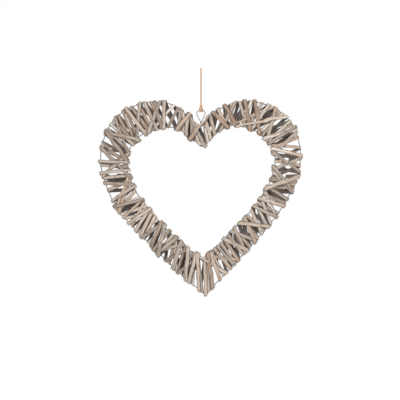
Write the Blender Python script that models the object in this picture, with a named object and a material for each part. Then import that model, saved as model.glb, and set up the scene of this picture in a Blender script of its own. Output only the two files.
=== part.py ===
"""A wicker heart: strips of split willow wound round two heart-shaped wires, on a loop of jute twine."""

import bisect
import math

import bmesh
import bpy
from mathutils import Vector

# Sizes in metres. The origin is the top of the twine loop, where the heart hangs. +X is the heart's
# right as seen from the front, -Y is its front and +Z is up.
HEART_WIDTH = 0.3895
HEART_HEIGHT = 0.377
BAND_DEPTH = 0.018
RIM_DEPTH = 0.0070
FRAME_WIRE = 0.0018
EYE_WIRE = 0.0016
STRIP_THICKNESS = 0.0013
LOOP_HEIGHT = 0.0715
LOOP_WIDTH = 0.0110
TWINE = 0.0026
KNOT_WIDTH = 0.0090
KNOT_DEPTH = 0.0086
KNOT_ABOVE_EYE = 0.0108
KNOT_BELOW_EYE = 0.0036
EYE_WIDTH = 0.0172
EYE_HEIGHT = 0.0225
NECK_HEIGHT = 0.0092
PIGTAIL = 0.0150
TWIST_PITCH = 0.0120

# Clear room: between strips that lie on each other, from a heart wire to the strips, between pieces that
# touch, and how far to each side of the outer wire the legs of the eye stay apart.
LAYER_GAP = 0.0004
WIRE_GAP = 0.0005
TOUCH_GAP = 0.0003
STRADDLE = 0.0045

# A strip's outer face is this share of its inner one. Where a strip runs askew, its width along the band
# grows as if its angle had at least this sine.
OUTER_FACE_SHARE = 0.64
LEAST_SINE = 0.6

# Both ends of a strip are tucked in behind the band, short of its middle by this share of the way there.
END_SHORT = 0.06

# From a heart wire's middle to the strips that lie against it, and from one layer of strips to the next.
RIM_GAP = FRAME_WIRE / 2 + WIRE_GAP
LAYER_PITCH = STRIP_THICKNESS + LAYER_GAP

# Heights of the eye, down from the origin: the wire inside the knot, its neck and the outer wire's notch.
EYE_TOP = -(LOOP_HEIGHT + TOUCH_GAP + KNOT_ABOVE_EYE)
EYE_NECK = EYE_TOP - EYE_HEIGHT
NOTCH = EYE_NECK - NECK_HEIGHT

# The two wires, from the notch between the lobes round one side to the tip: shares of the heart's width
# from its middle line, and shares of its height above the notch. The sides of the real heart differ.
OUTER_RIGHT = (
    (0.000, 0.000), (0.014, 0.012), (0.060, 0.066), (0.144, 0.113), (0.257, 0.129), (0.374, 0.090),
    (0.455, 0.013), (0.496, -0.105), (0.496, -0.203), (0.466, -0.307), (0.391, -0.445), (0.261, -0.606),
    (0.128, -0.755), (0.034, -0.858), (0.022, -0.871),
)
OUTER_LEFT = (
    (0.000, 0.000), (0.016, 0.009), (0.058, 0.042), (0.145, 0.112), (0.235, 0.126), (0.340, 0.104),
    (0.432, 0.039), (0.489, -0.068), (0.504, -0.182), (0.479, -0.297), (0.414, -0.434), (0.290, -0.575),
    (0.148, -0.720), (0.057, -0.806), (-0.010, -0.860), (-0.022, -0.871),
)
INNER_RIGHT = (
    (0.010, -0.104), (0.022, -0.093), (0.060, -0.049), (0.125, 0.000), (0.200, 0.006), (0.282, -0.028),
    (0.351, -0.091), (0.373, -0.172), (0.353, -0.270), (0.303, -0.372), (0.229, -0.464), (0.141, -0.558),
    (0.023, -0.688), (0.012, -0.700),
)
INNER_LEFT = (
    (-0.010, -0.104), (0.004, -0.093), (0.052, -0.055), (0.115, -0.013), (0.185, -0.003), (0.276, -0.029),
    (0.348, -0.096), (0.374, -0.198), (0.345, -0.303), (0.283, -0.404), (0.198, -0.506), (0.092, -0.614),
    (0.000, -0.691), (-0.012, -0.700),
)

# Each strip of willow: its width in millimetres, then every crossing of the front, as its stations on the
# outer and on the inner wire. A station is a percentage of the way from the notch to the tip, to the
# right, and a negative one is to the left. Past 100 it goes on round the tip and up the left side. The
# strip crosses the back between one crossing and the next, and later strips lie over earlier ones.
STRIPS = (
    (7.6, (4.6, 7.4), (12.4, 16.0), (15.0, 23.4), (22.4, 23.6), (28.2, 31.0), (34.4, 33.6)),
    (7.2, (54.4, 52.0), (48.0, 44.2), (42.3, 36.8), (38.9, 38.4)),
    (7.8, (53.4, 52.8), (55.6, 56.2), (61.0, 60.2)),
    (8.0, (65.0, 64.6), (72.4, 72.0), (75.4, 74.6), (79.0, 80.4), (82.4, 83.8), (86.0, 88.8)),
    (6.2, (84.4, 96.6), (91.4, 94.4), (98.6, 96.8)),
    (7.6, (1.8, 2.6), (-1.9, -3.2), (-4.4, -1.6), (-7.2, -10.4), (-10.8, -24.6)),
    (7.6, (-18.2, -20.2), (-22.2, -24.8), (-24.6, -26.2), (-26.4, -32.2), (-29.4, -35.4), (-31.4, -34.6)),
    (7.4, (-33.0, -35.6), (-34.9, -39.0), (-41.8, -42.6), (-46.6, -46.2)),
    (8.0, (-62.2, -56.8), (-54.8, -52.2), (-50.6, -50.0)),
    (7.6, (-60.4, -60.8), (-63.4, -65.4), (-64.9, -69.9), (-71.2, -73.2), (-75.8, -77.6), (-79.8, -82.6)),
    (7.4, (-85.0, -84.4), (-88.6, -89.8)),
    (7.2, (-88.2, -83.8), (-79.2, -88.6), (-91.2, -93.4), (-95.0, -94.6), (-98.8, -96.8)),
    (7.6, (26.0, 11.1), (13.9, 10.2)),
    (7.6, (2.4, 4.7), (7.8, 13.9), (18.8, 21.0), (24.6, 25.4), (29.8, 28.8), (33.2, 34.6)),
    (8.6, (5.8, 14.2), (10.2, 18.3), (16.7, 24.8), (19.9, 29.6)),
    (7.1, (73.4, 69.0), (70.6, 65.8), (69.2, 61.8), (66.5, 58.5), (57.0, 48.9)),
    (7.8, (26.9, 34.0), (37.0, 41.2), (45.5, 48.2)),
    (7.6, (45.0, 38.3), (36.5, 32.3), (31.5, 18.5)),
    (7.3, (59.6, 56.2), (56.8, 46.8), (50.2, 40.3), (35.5, 35.8)),
    (7.6, (66.2, 67.0), (76.2, 82.0), (86.7, 90.9)),
    (8.0, (77.0, 73.2), (81.5, 79.5), (84.9, 86.3), (88.4, 92.5)),
    (8.9, (51.4, 57.5), (62.0, 62.6), (70.0, 76.8), (80.3, 86.5)),
    (6.4, (-4.2, -5.2), (-9.2, -17.8), (-17.0, -20.5), (-27.4, -34.2), (-30.4, -40.8), (-39.2, -46.0)),
    (8.0, (-4.6, 0.9), (-5.6, -8.6), (-8.3, -13.0), (-15.2, -26.6), (-21.5, -33.0)),
    (8.0, (-62.6, -51.0), (-50.2, -40.0), (-36.4, -32.4)),
    (5.8, (-68.5, -63.5), (-64.7, -62.2), (-61.2, -49.6)),
    (8.0, (-35.6, -43.8), (-40.8, -51.0), (-52.2, -54.6), (-60.2, -62.3)),
    (7.1, (-58.4, -55.2), (-49.0, -47.6), (-45.4, -44.2)),
    (8.6, (3.8, -6.5), (-5.2, -13.6), (-14.0, -19.7), (-20.2, -22.9), (-26.2, -28.3)),
    (8.2, (-73.8, -71.2), (-72.6, -68.8), (-70.4, -67.0), (-67.0, -67.5)),
    (7.8, (-73.0, -75.8), (-77.3, -75.0), (-78.5, -80.0), (-83.5, -91.4), (-89.0, -97.0)),
    (8.9, (-87.0, -87.0), (-80.0, -84.5), (-80.8, -76.6)),
    (8.2, (90.2, 103.0), (106.4, 104.6), (107.6, 109.0)),
    (8.0, (93.4, 95.0), (100.0, 98.4), (102.2, 104.0)),
    (8.4, (97.0, 96.0)),
)

# How the strips are laid: two that pass this close, in shares of a wire, count as crossing. Their crossing
# is taken as longer at each end by this share of the stretch, and as the whole stretch if one of them drifts
# so much more than the other. One passes over the other if it lies a layer higher at both ends of the
# stretch, or this many layers higher all along the crossing.
BESIDE = 0.0020
SPARE_ROOM = 0.08
MOST_SLANT = 0.03
CLEAR_LAYERS = 1.3

# The search for layers prefers low ones, above all on the wires, small steps between them and, on the
# front, passing over what was laid before.
MOST_LAYERS = 12
RIM_COST = 4
STEP_COST = 0.5
UNDER_COST = 2.5
WAYS_KEPT = 4

# Directions along the band are read over this share of a wire, and a crossing drifts at most so far past
# its ends.
READING_STEP = 0.004
MOST_DRIFT = 0.04

# The twine's route, from the knot up one strand, over the top of the loop and down the other: shares of
# the loop's width, front to back, and of the loop's height down from the top.
TWINE_ROUTE = (
    (-0.130, 1.0000), (-0.145, 0.8300), (-0.200, 0.6400), (-0.290, 0.4400), (-0.400, 0.2600),
    (-0.480, 0.1400), (-0.500, 0.0770), (-0.354, 0.0225), (0.000, 0.0000), (0.354, 0.0225),
    (0.500, 0.0770), (0.480, 0.1400), (0.400, 0.2600), (0.290, 0.4400), (0.200, 0.6400),
    (0.145, 0.8300), (0.130, 1.0000),
)

# The knot from its top down: shares of its height, of its width and of its depth.
KNOT_PROFILE = (
    (0.00, 0.52, 0.72), (0.30, 0.58, 0.76), (0.62, 0.80, 0.90), (0.88, 1.00, 1.00), (1.00, 0.92, 0.94),
)
KNOT_SIDES = 12

# The right side of the eye, from the neck up: shares of half its width and of its height.
EYE_SIDE = ((0.60, 0.36), (0.98, 0.73), (0.72, 0.93))
LEG_STEPS = 14
TUNNEL_SIDES = 8

WILLOW = ((0.47, 0.38, 0.30), (0.55, 0.46, 0.38), (0.41, 0.32, 0.26), (0.50, 0.42, 0.35))
SHARP_EDGE = math.radians(35)


def clear_scene():
    for obj in list(bpy.data.objects):
        bpy.data.objects.remove(obj, do_unlink=True)


def material(name, colour, roughness, metallic=0.0):
    made = bpy.data.materials.new(name)
    made.use_nodes = True
    shader = made.node_tree.nodes["Principled BSDF"]
    shader.inputs["Base Color"].default_value = (*colour, 1.0)
    shader.inputs["Roughness"].default_value = roughness
    shader.inputs["Metallic"].default_value = metallic
    made.diffuse_color = (*colour, 1.0)
    return made


def smooth_curve(knots, steps):
    """A Catmull-Rom curve through the knots, steps points to a stretch, closed if it ends where it began."""
    closed = (knots[0] - knots[-1]).length < 1e-9
    before = knots[-2] if closed else knots[0] * 2 - knots[1]
    after = knots[1] if closed else knots[-1] * 2 - knots[-2]
    line = [before, *knots, after]
    times = [0.0]
    for a, b in zip(line, line[1:]):
        times.append(times[-1] + math.sqrt((b - a).length))
    points = []
    for i in range(1, len(line) - 2):
        t0, t1, t2, t3 = times[i - 1 : i + 3]
        for k in range(steps):
            t = t1 + (t2 - t1) * k / steps
            a1 = line[i - 1].lerp(line[i], (t - t0) / (t1 - t0))
            a2 = line[i].lerp(line[i + 1], (t - t1) / (t2 - t1))
            a3 = line[i + 1].lerp(line[i + 2], (t - t2) / (t3 - t2))
            b1 = a1.lerp(a2, (t - t0) / (t2 - t0))
            b2 = a2.lerp(a3, (t - t1) / (t3 - t1))
            points.append(b1.lerp(b2, (t - t1) / (t2 - t1)))
    return points + [knots[-1]]


def heart_point(share, side):
    """A point on a wire, in the plane of the heart, from its shares of the width and the height."""
    across, up = share
    return Vector((side * across * HEART_WIDTH, NOTCH + up * HEART_HEIGHT))


class HeartWire:
    """One of the two heart-shaped wires, read by station: 0 at the notch, 1 or -1 at the tip."""

    STEPS = 16

    def __init__(self, right, left):
        rights = [heart_point(share, 1) for share in right]
        lefts = [heart_point(share, -1) for share in left]
        self.knots = rights + lefts[-2:0:-1] + [rights[0]]
        line = smooth_curve(self.knots, self.STEPS)
        tip = (len(rights) - 1) * self.STEPS
        self.halves = {1: self.measured(line[: tip + 1]), -1: self.measured(line[tip:][::-1])}

    @staticmethod
    def measured(points):
        along = [0.0]
        for a, b in zip(points, points[1:]):
            along.append(along[-1] + (b - a).length)
        return [s / along[-1] for s in along], points

    def at(self, station):
        station = (station + 1) % 2 - 1
        shares, points = self.halves[1 if station >= 0 else -1]
        share = abs(station)
        i = min(max(bisect.bisect_right(shares, share) - 1, 0), len(shares) - 2)
        return points[i].lerp(points[i + 1], (share - shares[i]) / (shares[i + 1] - shares[i]))


class Band:
    """The band between the two wires. A cut through it has six corners, three to a face: at the outer wire,
    half way and at the inner wire on the front, and back again behind."""

    FACE = ((0.0, RIM_DEPTH), (0.5, BAND_DEPTH), (1.0, RIM_DEPTH))
    ROUND = 6
    FRONT = (0, 1, 2)
    BACK = (3, 4, 5)
    HALF_WAY = (1, 4)

    def __init__(self):
        self.outer = HeartWire(OUTER_RIGHT, OUTER_LEFT)
        self.inner = HeartWire(INNER_RIGHT, INNER_LEFT)
        self.corners = [(share, -depth / 2) for share, depth in self.FACE]
        self.corners += [(share, depth / 2) for share, depth in reversed(self.FACE)]

    def point(self, station, share):
        return self.outer.at(station).lerp(self.inner.at(station), share)

    def along(self, station, share):
        """The direction of growing station there, in metres for each unit of station."""
        ahead = self.point(station + READING_STEP, share)
        return (ahead - self.point(station - READING_STEP, share)) / (2 * READING_STEP)

    def inward(self, station, share):
        """The direction across the band there, square to its length."""
        along = self.along(station, share)
        square = Vector((-along.y, along.x)).normalized()
        across = self.inner.at(station) - self.outer.at(station)
        return square if square.dot(across) > 0 else -square

    def cut(self, station):
        """The six corners at a station, as distances inward from the outer wire and positions in depth."""
        width = (self.outer.at(station) - self.inner.at(station)).dot(-self.inward(station, 0.5))
        ends = {0.0: -RIM_GAP, 1.0: width + RIM_GAP}
        return [(ends.get(share, share * width), depth) for share, depth in self.corners]

    def corner(self, station, number):
        """A corner's point in space, and the way it moves for each metre that the strips pile up on it."""
        ring = self.cut(station)
        here, before, after = ring[number], ring[number - 1], ring[(number + 1) % self.ROUND]
        normals = []
        for a, b in ((before, here), (here, after)):
            run, rise = b[0] - a[0], b[1] - a[1]
            size = math.hypot(run, rise)
            normals.append((rise / size, -run / size))
        spread = 1 + normals[0][0] * normals[1][0] + normals[0][1] * normals[1][1]
        pile = [(normals[0][k] + normals[1][k]) / spread for k in (0, 1)]
        share, depth = self.corners[number]
        inward = self.inward(station, share)
        flat = self.point(station, share) + inward * {0.0: -RIM_GAP, 1.0: RIM_GAP}.get(share, 0.0)
        return Vector((flat.x, depth, flat.y)), Vector((inward.x * pile[0], pile[1], inward.y * pile[0]))


class Section:
    """One cut through a strip, at a corner of the band."""

    def __init__(self, band, width, station, number, run=None):
        """The run is the strip's direction there, in the plane of the heart, if it isn't straight across."""
        along = band.along(station, band.corners[number][0])
        speed = along.length
        sine = 1.0 if run is None else max(abs(run.cross(along)) / speed, LEAST_SINE)
        half = width / 2 / sine
        self.number = number
        self.station = station
        self.half = half / speed
        self.centre, self.pile = band.corner(station, number)
        self.reach = Vector((along.x, 0.0, along.y)) / speed * half


class Strip:
    """One strip of willow, from its first end behind the band, round and round, to its last end."""

    def __init__(self, band, width, crossings):
        outer, inner = crossings[0][0], crossings[-1][1]
        self.sections = [Section(band, width, outer, number) for number in (4, 5)]
        for k, (start, end) in enumerate(crossings):
            self.cross(band, width, start, end, Band.FRONT)
            if k + 1 < len(crossings):
                self.cross(band, width, end, crossings[k + 1][0], Band.BACK)
        self.sections += [Section(band, width, inner, number) for number in (3, 4)]
        self.layers = []

    def cross(self, band, width, start, end, corners):
        """The strip runs straight across one face, from a station on one wire to a station on the other."""
        near, half, far = [band.corners[number][0] for number in corners]
        a = band.point(start, near)
        run = (band.point(end, far) - a).normalized()
        stations = (start, self.meeting(band, a, run, half, start, end), end)
        self.sections += [Section(band, width, s, number, run) for s, number in zip(stations, corners)]

    @staticmethod
    def meeting(band, a, run, share, start, end):
        """Where the straight run from a meets the line that keeps this share of the band's width."""

        def offset(station):
            return (band.point(station, share) - a).cross(run)

        low, high = min(start, end) - MOST_DRIFT, max(start, end) + MOST_DRIFT
        rising = offset(high) > offset(low)
        for _ in range(30):
            middle = (low + high) / 2
            if (offset(middle) > 0) == rising:
                high = middle
            else:
                low = middle
        return (low + high) / 2


def shared(a, b, shift):
    """Where two stretches between the same two corners share room: from which share of the way to which, or
    None if they stay beside each other."""
    start, end = 0.0, 1.0
    for side in (1, -1):
        clear = [side * (p.station - q.station - shift) - p.half - q.half - BESIDE for p, q in zip(a, b)]
        if min(clear) >= 0:
            return None
        if max(clear) > 0:
            meeting = clear[0] / (clear[0] - clear[1])
            start, end = (max(start, meeting), end) if clear[0] > 0 else (start, min(end, meeting))
    drifts = [stretch[1].station - stretch[0].station for stretch in (a, b)]
    if abs(drifts[0] - drifts[1]) > MOST_SLANT:
        return 0.0, 1.0
    return max(start - SPARE_ROOM, 0.0), min(end + SPARE_ROOM, 1.0)


def neighbours(strip, index, laid):
    """Every laid stretch that shares room with the stretch of this strip that ends at the section index."""
    stretch = strip.sections[index - 1 : index + 1]
    found = []
    for other, key in laid.get(stretch[0].number, ()):
        if other is strip and key >= index - 1:
            continue
        pair = other.sections[key : key + 2]
        shift = 2 * round((stretch[0].station - pair[0].station) / 2)
        room = shared(stretch, pair, shift)
        if room:
            found.append((other, key, room))
    return found


def clears(near, far, room):
    """Whether a strip that lies so many layers higher at the ends of a stretch passes over the other."""
    rises = [near + (far - near) * share for share in room]
    return min(near, far) >= 1 or min(rises) >= CLEAR_LAYERS


def ways_on(path, cost, pairs, number, front):
    """Each layer that the strip can go on to, clear of the stretches it meets, with what it costs."""
    weight = 1 if number in Band.HALF_WAY else RIM_COST
    for layer in range(MOST_LAYERS):
        over = [clears(path[-1] - first, layer - last, room) for first, last, room in pairs]
        under = [clears(first - path[-1], last - layer, room) for first, last, room in pairs]
        if all(a or b for a, b in zip(over, under)):
            step = abs(layer - path[-1])
            passed = sum(under) if front else 0
            yield cost + weight * layer * layer + STEP_COST * step + UNDER_COST * passed, path + (layer,)


def lay(strip, laid):
    """Chooses a layer for every section, so that the strip passes over or under each one that it meets."""
    for index, section in enumerate(strip.sections[:-1]):
        laid.setdefault(section.number, []).append((strip, index))
    best = [(layer, (layer,)) for layer in range(MOST_LAYERS)]
    for index in range(1, len(strip.sections)):
        near = neighbours(strip, index, laid)
        front = strip.sections[index - 1].number in Band.FRONT[:-1]
        grown = []
        for cost, path in best:
            pairs = []
            for other, key, room in near:
                layers = path if other is strip else other.layers
                pairs.append((layers[key], layers[key + 1], room))
            grown += ways_on(path, cost, pairs, strip.sections[index].number, front)
        grown.sort(key=lambda way: way[0])
        kept = {}
        for way in grown:
            ends = kept.setdefault(way[1][-1], [])
            if len(ends) < WAYS_KEPT:
                ends.append(way)
        best = [way for ends in kept.values() for way in ends]
    strip.layers = min(best, key=lambda way: way[0])[1]


def strip_rings(strip):
    """The strip's cuts: a flat inner face and a narrower outer one, like half a round stem."""
    rings = []
    for section, layer in zip(strip.sections, strip.layers):
        low = section.centre + section.pile * (layer * LAYER_PITCH)
        high = low + section.pile * STRIP_THICKNESS
        outer = section.reach * OUTER_FACE_SHARE
        rings.append((low - section.reach, low + section.reach, high + outer, high - outer))
    for end, beyond in ((0, 1), (-1, -2)):
        rings[end] = [a.lerp(b, END_SHORT) for a, b in zip(rings[end], rings[beyond])]
    return rings


def skin(name, rings):
    """A closed mesh over the rings, each joined to the next, with the first and the last one filled."""
    mesh = bmesh.new()
    loops = [[mesh.verts.new(point) for point in ring] for ring in rings]
    for a, b in zip(loops, loops[1:]):
        for k in range(len(a)):
            mesh.faces.new((a[k], a[k - 1], b[k - 1], b[k]))
    mesh.faces.new(loops[0])
    mesh.faces.new(loops[-1][::-1])
    bmesh.ops.recalc_face_normals(mesh, faces=mesh.faces[:])
    bmesh.ops.triangulate(mesh, faces=mesh.faces[:])
    data = bpy.data.meshes.new(name)
    mesh.to_mesh(data)
    mesh.free()
    data.shade_smooth()
    data.set_sharp_from_angle(angle=SHARP_EDGE)
    obj = bpy.data.objects.new(name, data)
    bpy.context.scene.collection.objects.link(obj)
    return obj


def tube(name, points, diameter, resolution, closed=False):
    """A round wire or cord along the points."""
    curve = bpy.data.curves.new(name, "CURVE")
    curve.dimensions = "3D"
    curve.bevel_depth = diameter / 2
    curve.bevel_resolution = resolution
    curve.use_fill_caps = not closed
    spline = curve.splines.new("POLY")
    spline.points.add(len(points) - 1)
    for point, place in zip(spline.points, points):
        point.co = (*place, 1.0)
    spline.use_cyclic_u = closed
    spline.use_smooth = True
    obj = bpy.data.objects.new(name, curve)
    bpy.context.scene.collection.objects.link(obj)
    return obj


def frame_wire(name, wire, steps):
    points = smooth_curve(wire.knots, steps)[:-1]
    return tube(name, [(p.x, 0.0, p.y) for p in points], FRAME_WIRE, 1, closed=True)


def twisted_leg():
    """One leg of the eye, from its cut end up to the neck. The other is the same, turned half round. One leg
    passes before the outer wire and one behind it, and they twist round each other below and above."""
    points = []
    for k in range(LEG_STEPS + 1):
        up = -PIGTAIL + (NECK_HEIGHT + PIGTAIL) * k / LEG_STEPS
        clear = max(abs(up) - STRADDLE, 0.0)
        turn = clear / (NECK_HEIGHT - STRADDLE) / 4 if up > 0 else -clear / TWIST_PITCH
        angle = (turn - 0.25) * 2 * math.pi
        fade = min(max(abs(up) / STRADDLE - 0.6, 0.0), 1.0)
        bulge = (FRAME_WIRE / 2 + TOUCH_GAP) * (1 - fade * fade * (3 - 2 * fade))
        spread = (EYE_WIRE + TOUCH_GAP) / 2 + bulge
        points.append(Vector((math.cos(angle) * spread, math.sin(angle) * spread, NOTCH + up)))
    return points


def eye_side():
    """The right side of the eye, from the neck up."""
    return [Vector((across * EYE_WIDTH / 2, 0.0, EYE_NECK + up * EYE_HEIGHT)) for across, up in EYE_SIDE]


def mirrored(points):
    return [Vector((-p.x, p.y, p.z)) for p in reversed(points)]


def eye_route():
    """The hanging eye's wire: up the leg before the outer wire, over and down the one behind it."""
    leg = twisted_leg()
    other = [Vector((-p.x, -p.y, p.z)) for p in leg]
    side = eye_side()
    bend = [*leg[-2:], *side, Vector((0.0, 0.0, EYE_TOP)), *mirrored(side), other[-1], other[-2]]
    return [*leg[:-1], *smooth_curve(bend, 3)[3:-3], *other[-2::-1]]


def twine_route():
    knots = []
    for across, down in TWINE_ROUTE:
        knots.append(Vector((0.0, across * LOOP_WIDTH, -TWINE / 2 - down * (LOOP_HEIGHT - TWINE / 2))))
    return smooth_curve(knots, 2)


def eye_tunnel():
    """What is cut out of the knot to let the eye's wire through."""
    side = eye_side()[1:]
    route = smooth_curve([*side, Vector((0.0, 0.0, EYE_TOP)), *mirrored(side)], 4)
    radius = (EYE_WIRE / 2 + TOUCH_GAP) / math.cos(math.pi / TUNNEL_SIDES)
    turns = [2 * math.pi * k / TUNNEL_SIDES for k in range(TUNNEL_SIDES)]
    back = Vector((0.0, radius, 0.0))
    rings = []
    for before, here, after in zip(route, route[1:], route[2:]):
        ahead = (after - before).normalized()
        square = Vector((-ahead.z, 0.0, ahead.x)) * radius
        rings.append([here + square * math.cos(t) + back * math.sin(t) for t in turns])
    cutter = skin("eye_tunnel", rings)
    cutter.hide_render = True
    cutter.display_type = "WIRE"
    return cutter


def twine_knot():
    """The knot, a lump of hitched twine that widens down to a flat end, with the eye's wire through it."""
    top = -LOOP_HEIGHT - TOUCH_GAP
    height = KNOT_ABOVE_EYE + KNOT_BELOW_EYE
    turns = [2 * math.pi * (k + 0.5) / KNOT_SIDES for k in range(KNOT_SIDES)]
    rings = []
    for down, wide, deep in KNOT_PROFILE:
        across, through = wide * KNOT_WIDTH / 2, deep * KNOT_DEPTH / 2
        level = top - down * height
        rings.append([Vector((math.cos(t) * across, math.sin(t) * through, level)) for t in turns])
    knot = skin("twine_knot", rings)
    cut = knot.modifiers.new("eye tunnel", "BOOLEAN")
    cut.operation = "DIFFERENCE"
    cut.solver = "EXACT"
    cut.object = eye_tunnel()
    return knot


def willow(band):
    """Every strip, laid one after another."""
    laid = {}
    for number, (width, *crossings) in enumerate(STRIPS):
        stations = [(outer / 100, inner / 100) for outer, inner in crossings]
        strip = Strip(band, width / 1000, stations)
        lay(strip, laid)
        yield skin(f"willow_strip_{number + 1:02d}", strip_rings(strip))


def build():
    clear_scene()
    steel = material("galvanised wire", (0.42, 0.44, 0.46), 0.45, 1.0)
    jute = material("jute", (0.62, 0.42, 0.27), 0.95)
    stems = [material(f"willow {k + 1}", colour, 0.85) for k, colour in enumerate(WILLOW)]
    band = Band()
    frame_wire("outer_wire", band.outer, 2).data.materials.append(steel)
    frame_wire("inner_wire", band.inner, 3).data.materials.append(steel)
    tube("hanging_eye", eye_route(), EYE_WIRE, 1).data.materials.append(steel)
    for number, strip in enumerate(willow(band)):
        strip.data.materials.append(stems[number % len(stems)])
    tube("twine", twine_route(), TWINE, 2).data.materials.append(jute)
    twine_knot().data.materials.append(jute)


build()
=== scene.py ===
"""How the wicker heart looks: split willow, galvanised wire and jute twine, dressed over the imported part."""

import bisect
import math

import bpy
import numpy as np
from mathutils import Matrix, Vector


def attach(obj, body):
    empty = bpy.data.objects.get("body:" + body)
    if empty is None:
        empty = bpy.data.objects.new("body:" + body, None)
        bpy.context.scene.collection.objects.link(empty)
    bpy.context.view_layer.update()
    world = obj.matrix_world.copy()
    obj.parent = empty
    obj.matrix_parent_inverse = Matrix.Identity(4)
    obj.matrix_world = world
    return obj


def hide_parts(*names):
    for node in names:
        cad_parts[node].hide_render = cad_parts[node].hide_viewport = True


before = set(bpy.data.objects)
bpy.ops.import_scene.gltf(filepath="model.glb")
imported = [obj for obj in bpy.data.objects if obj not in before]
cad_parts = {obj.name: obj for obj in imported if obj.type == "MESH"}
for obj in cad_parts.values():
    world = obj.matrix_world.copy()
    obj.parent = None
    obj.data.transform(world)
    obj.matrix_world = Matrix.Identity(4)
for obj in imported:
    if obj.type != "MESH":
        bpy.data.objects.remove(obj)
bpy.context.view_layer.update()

# Sizes in metres. The origin is the top of the twine loop, where the heart hangs. +X is the heart's
# right as seen from the front, -Y is its front and +Z is up.
HEART_WIDTH = 0.3895
HEART_HEIGHT = 0.377
BAND_DEPTH = 0.018
RIM_DEPTH = 0.0070
FRAME_WIRE = 0.0018
EYE_WIRE = 0.0016
STRIP_THICKNESS = 0.0013
LOOP_HEIGHT = 0.0715
LOOP_WIDTH = 0.0110
TWINE = 0.0026
KNOT_ABOVE_EYE = 0.0108
EYE_WIDTH = 0.0172
EYE_HEIGHT = 0.0225
NECK_HEIGHT = 0.0092
PIGTAIL = 0.0150
TWIST_PITCH = 0.0120

# Clear room: between strips, between a heart wire and the strips, between pieces that touch, and how far to
# each side of the outer wire the eye's legs stay apart.
LAYER_GAP = 0.0004
WIRE_GAP = 0.0005
TOUCH_GAP = 0.0003
STRADDLE = 0.0045

# A strip that runs askew widens along the band as if its angle had at least this sine.
LEAST_SINE = 0.6

# A strip's ends are tucked in at the back, short of the band's middle by this share of the way there.
END_SHORT = 0.06

# From a heart wire's middle to the strips on it, and from one layer of strips to the next.
RIM_GAP = FRAME_WIRE / 2 + WIRE_GAP
LAYER_PITCH = STRIP_THICKNESS + LAYER_GAP

# Heights of the top of the eye, of its neck and of the outer wire's notch.
EYE_TOP = -(LOOP_HEIGHT + TOUCH_GAP + KNOT_ABOVE_EYE)
EYE_NECK = EYE_TOP - EYE_HEIGHT
NOTCH = EYE_NECK - NECK_HEIGHT

# The two wires, from the notch down each side to the tip: thousandths of the heart's width from its middle
# line, and of its height above the notch. The sides of the real heart differ.
OUTER_RIGHT = (
    (0, 0), (14, 12), (60, 66), (144, 113), (257, 129), (374, 90), (455, 13), (496, -105), (496, -203),
    (466, -307), (391, -445), (261, -606), (128, -755), (34, -858), (22, -871),
)
OUTER_LEFT = (
    (0, 0), (16, 9), (58, 42), (145, 112), (235, 126), (340, 104), (432, 39), (489, -68), (504, -182),
    (479, -297), (414, -434), (290, -575), (148, -720), (57, -806), (-10, -860), (-22, -871),
)
INNER_RIGHT = (
    (10, -104), (22, -93), (60, -49), (125, 0), (200, 6), (282, -28), (351, -91), (373, -172), (353, -270),
    (303, -372), (229, -464), (141, -558), (23, -688), (12, -700),
)
INNER_LEFT = (
    (-10, -104), (4, -93), (52, -55), (115, -13), (185, -3), (276, -29), (348, -96), (374, -198),
    (345, -303), (283, -404), (198, -506), (92, -614), (0, -691), (-12, -700),
)

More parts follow.
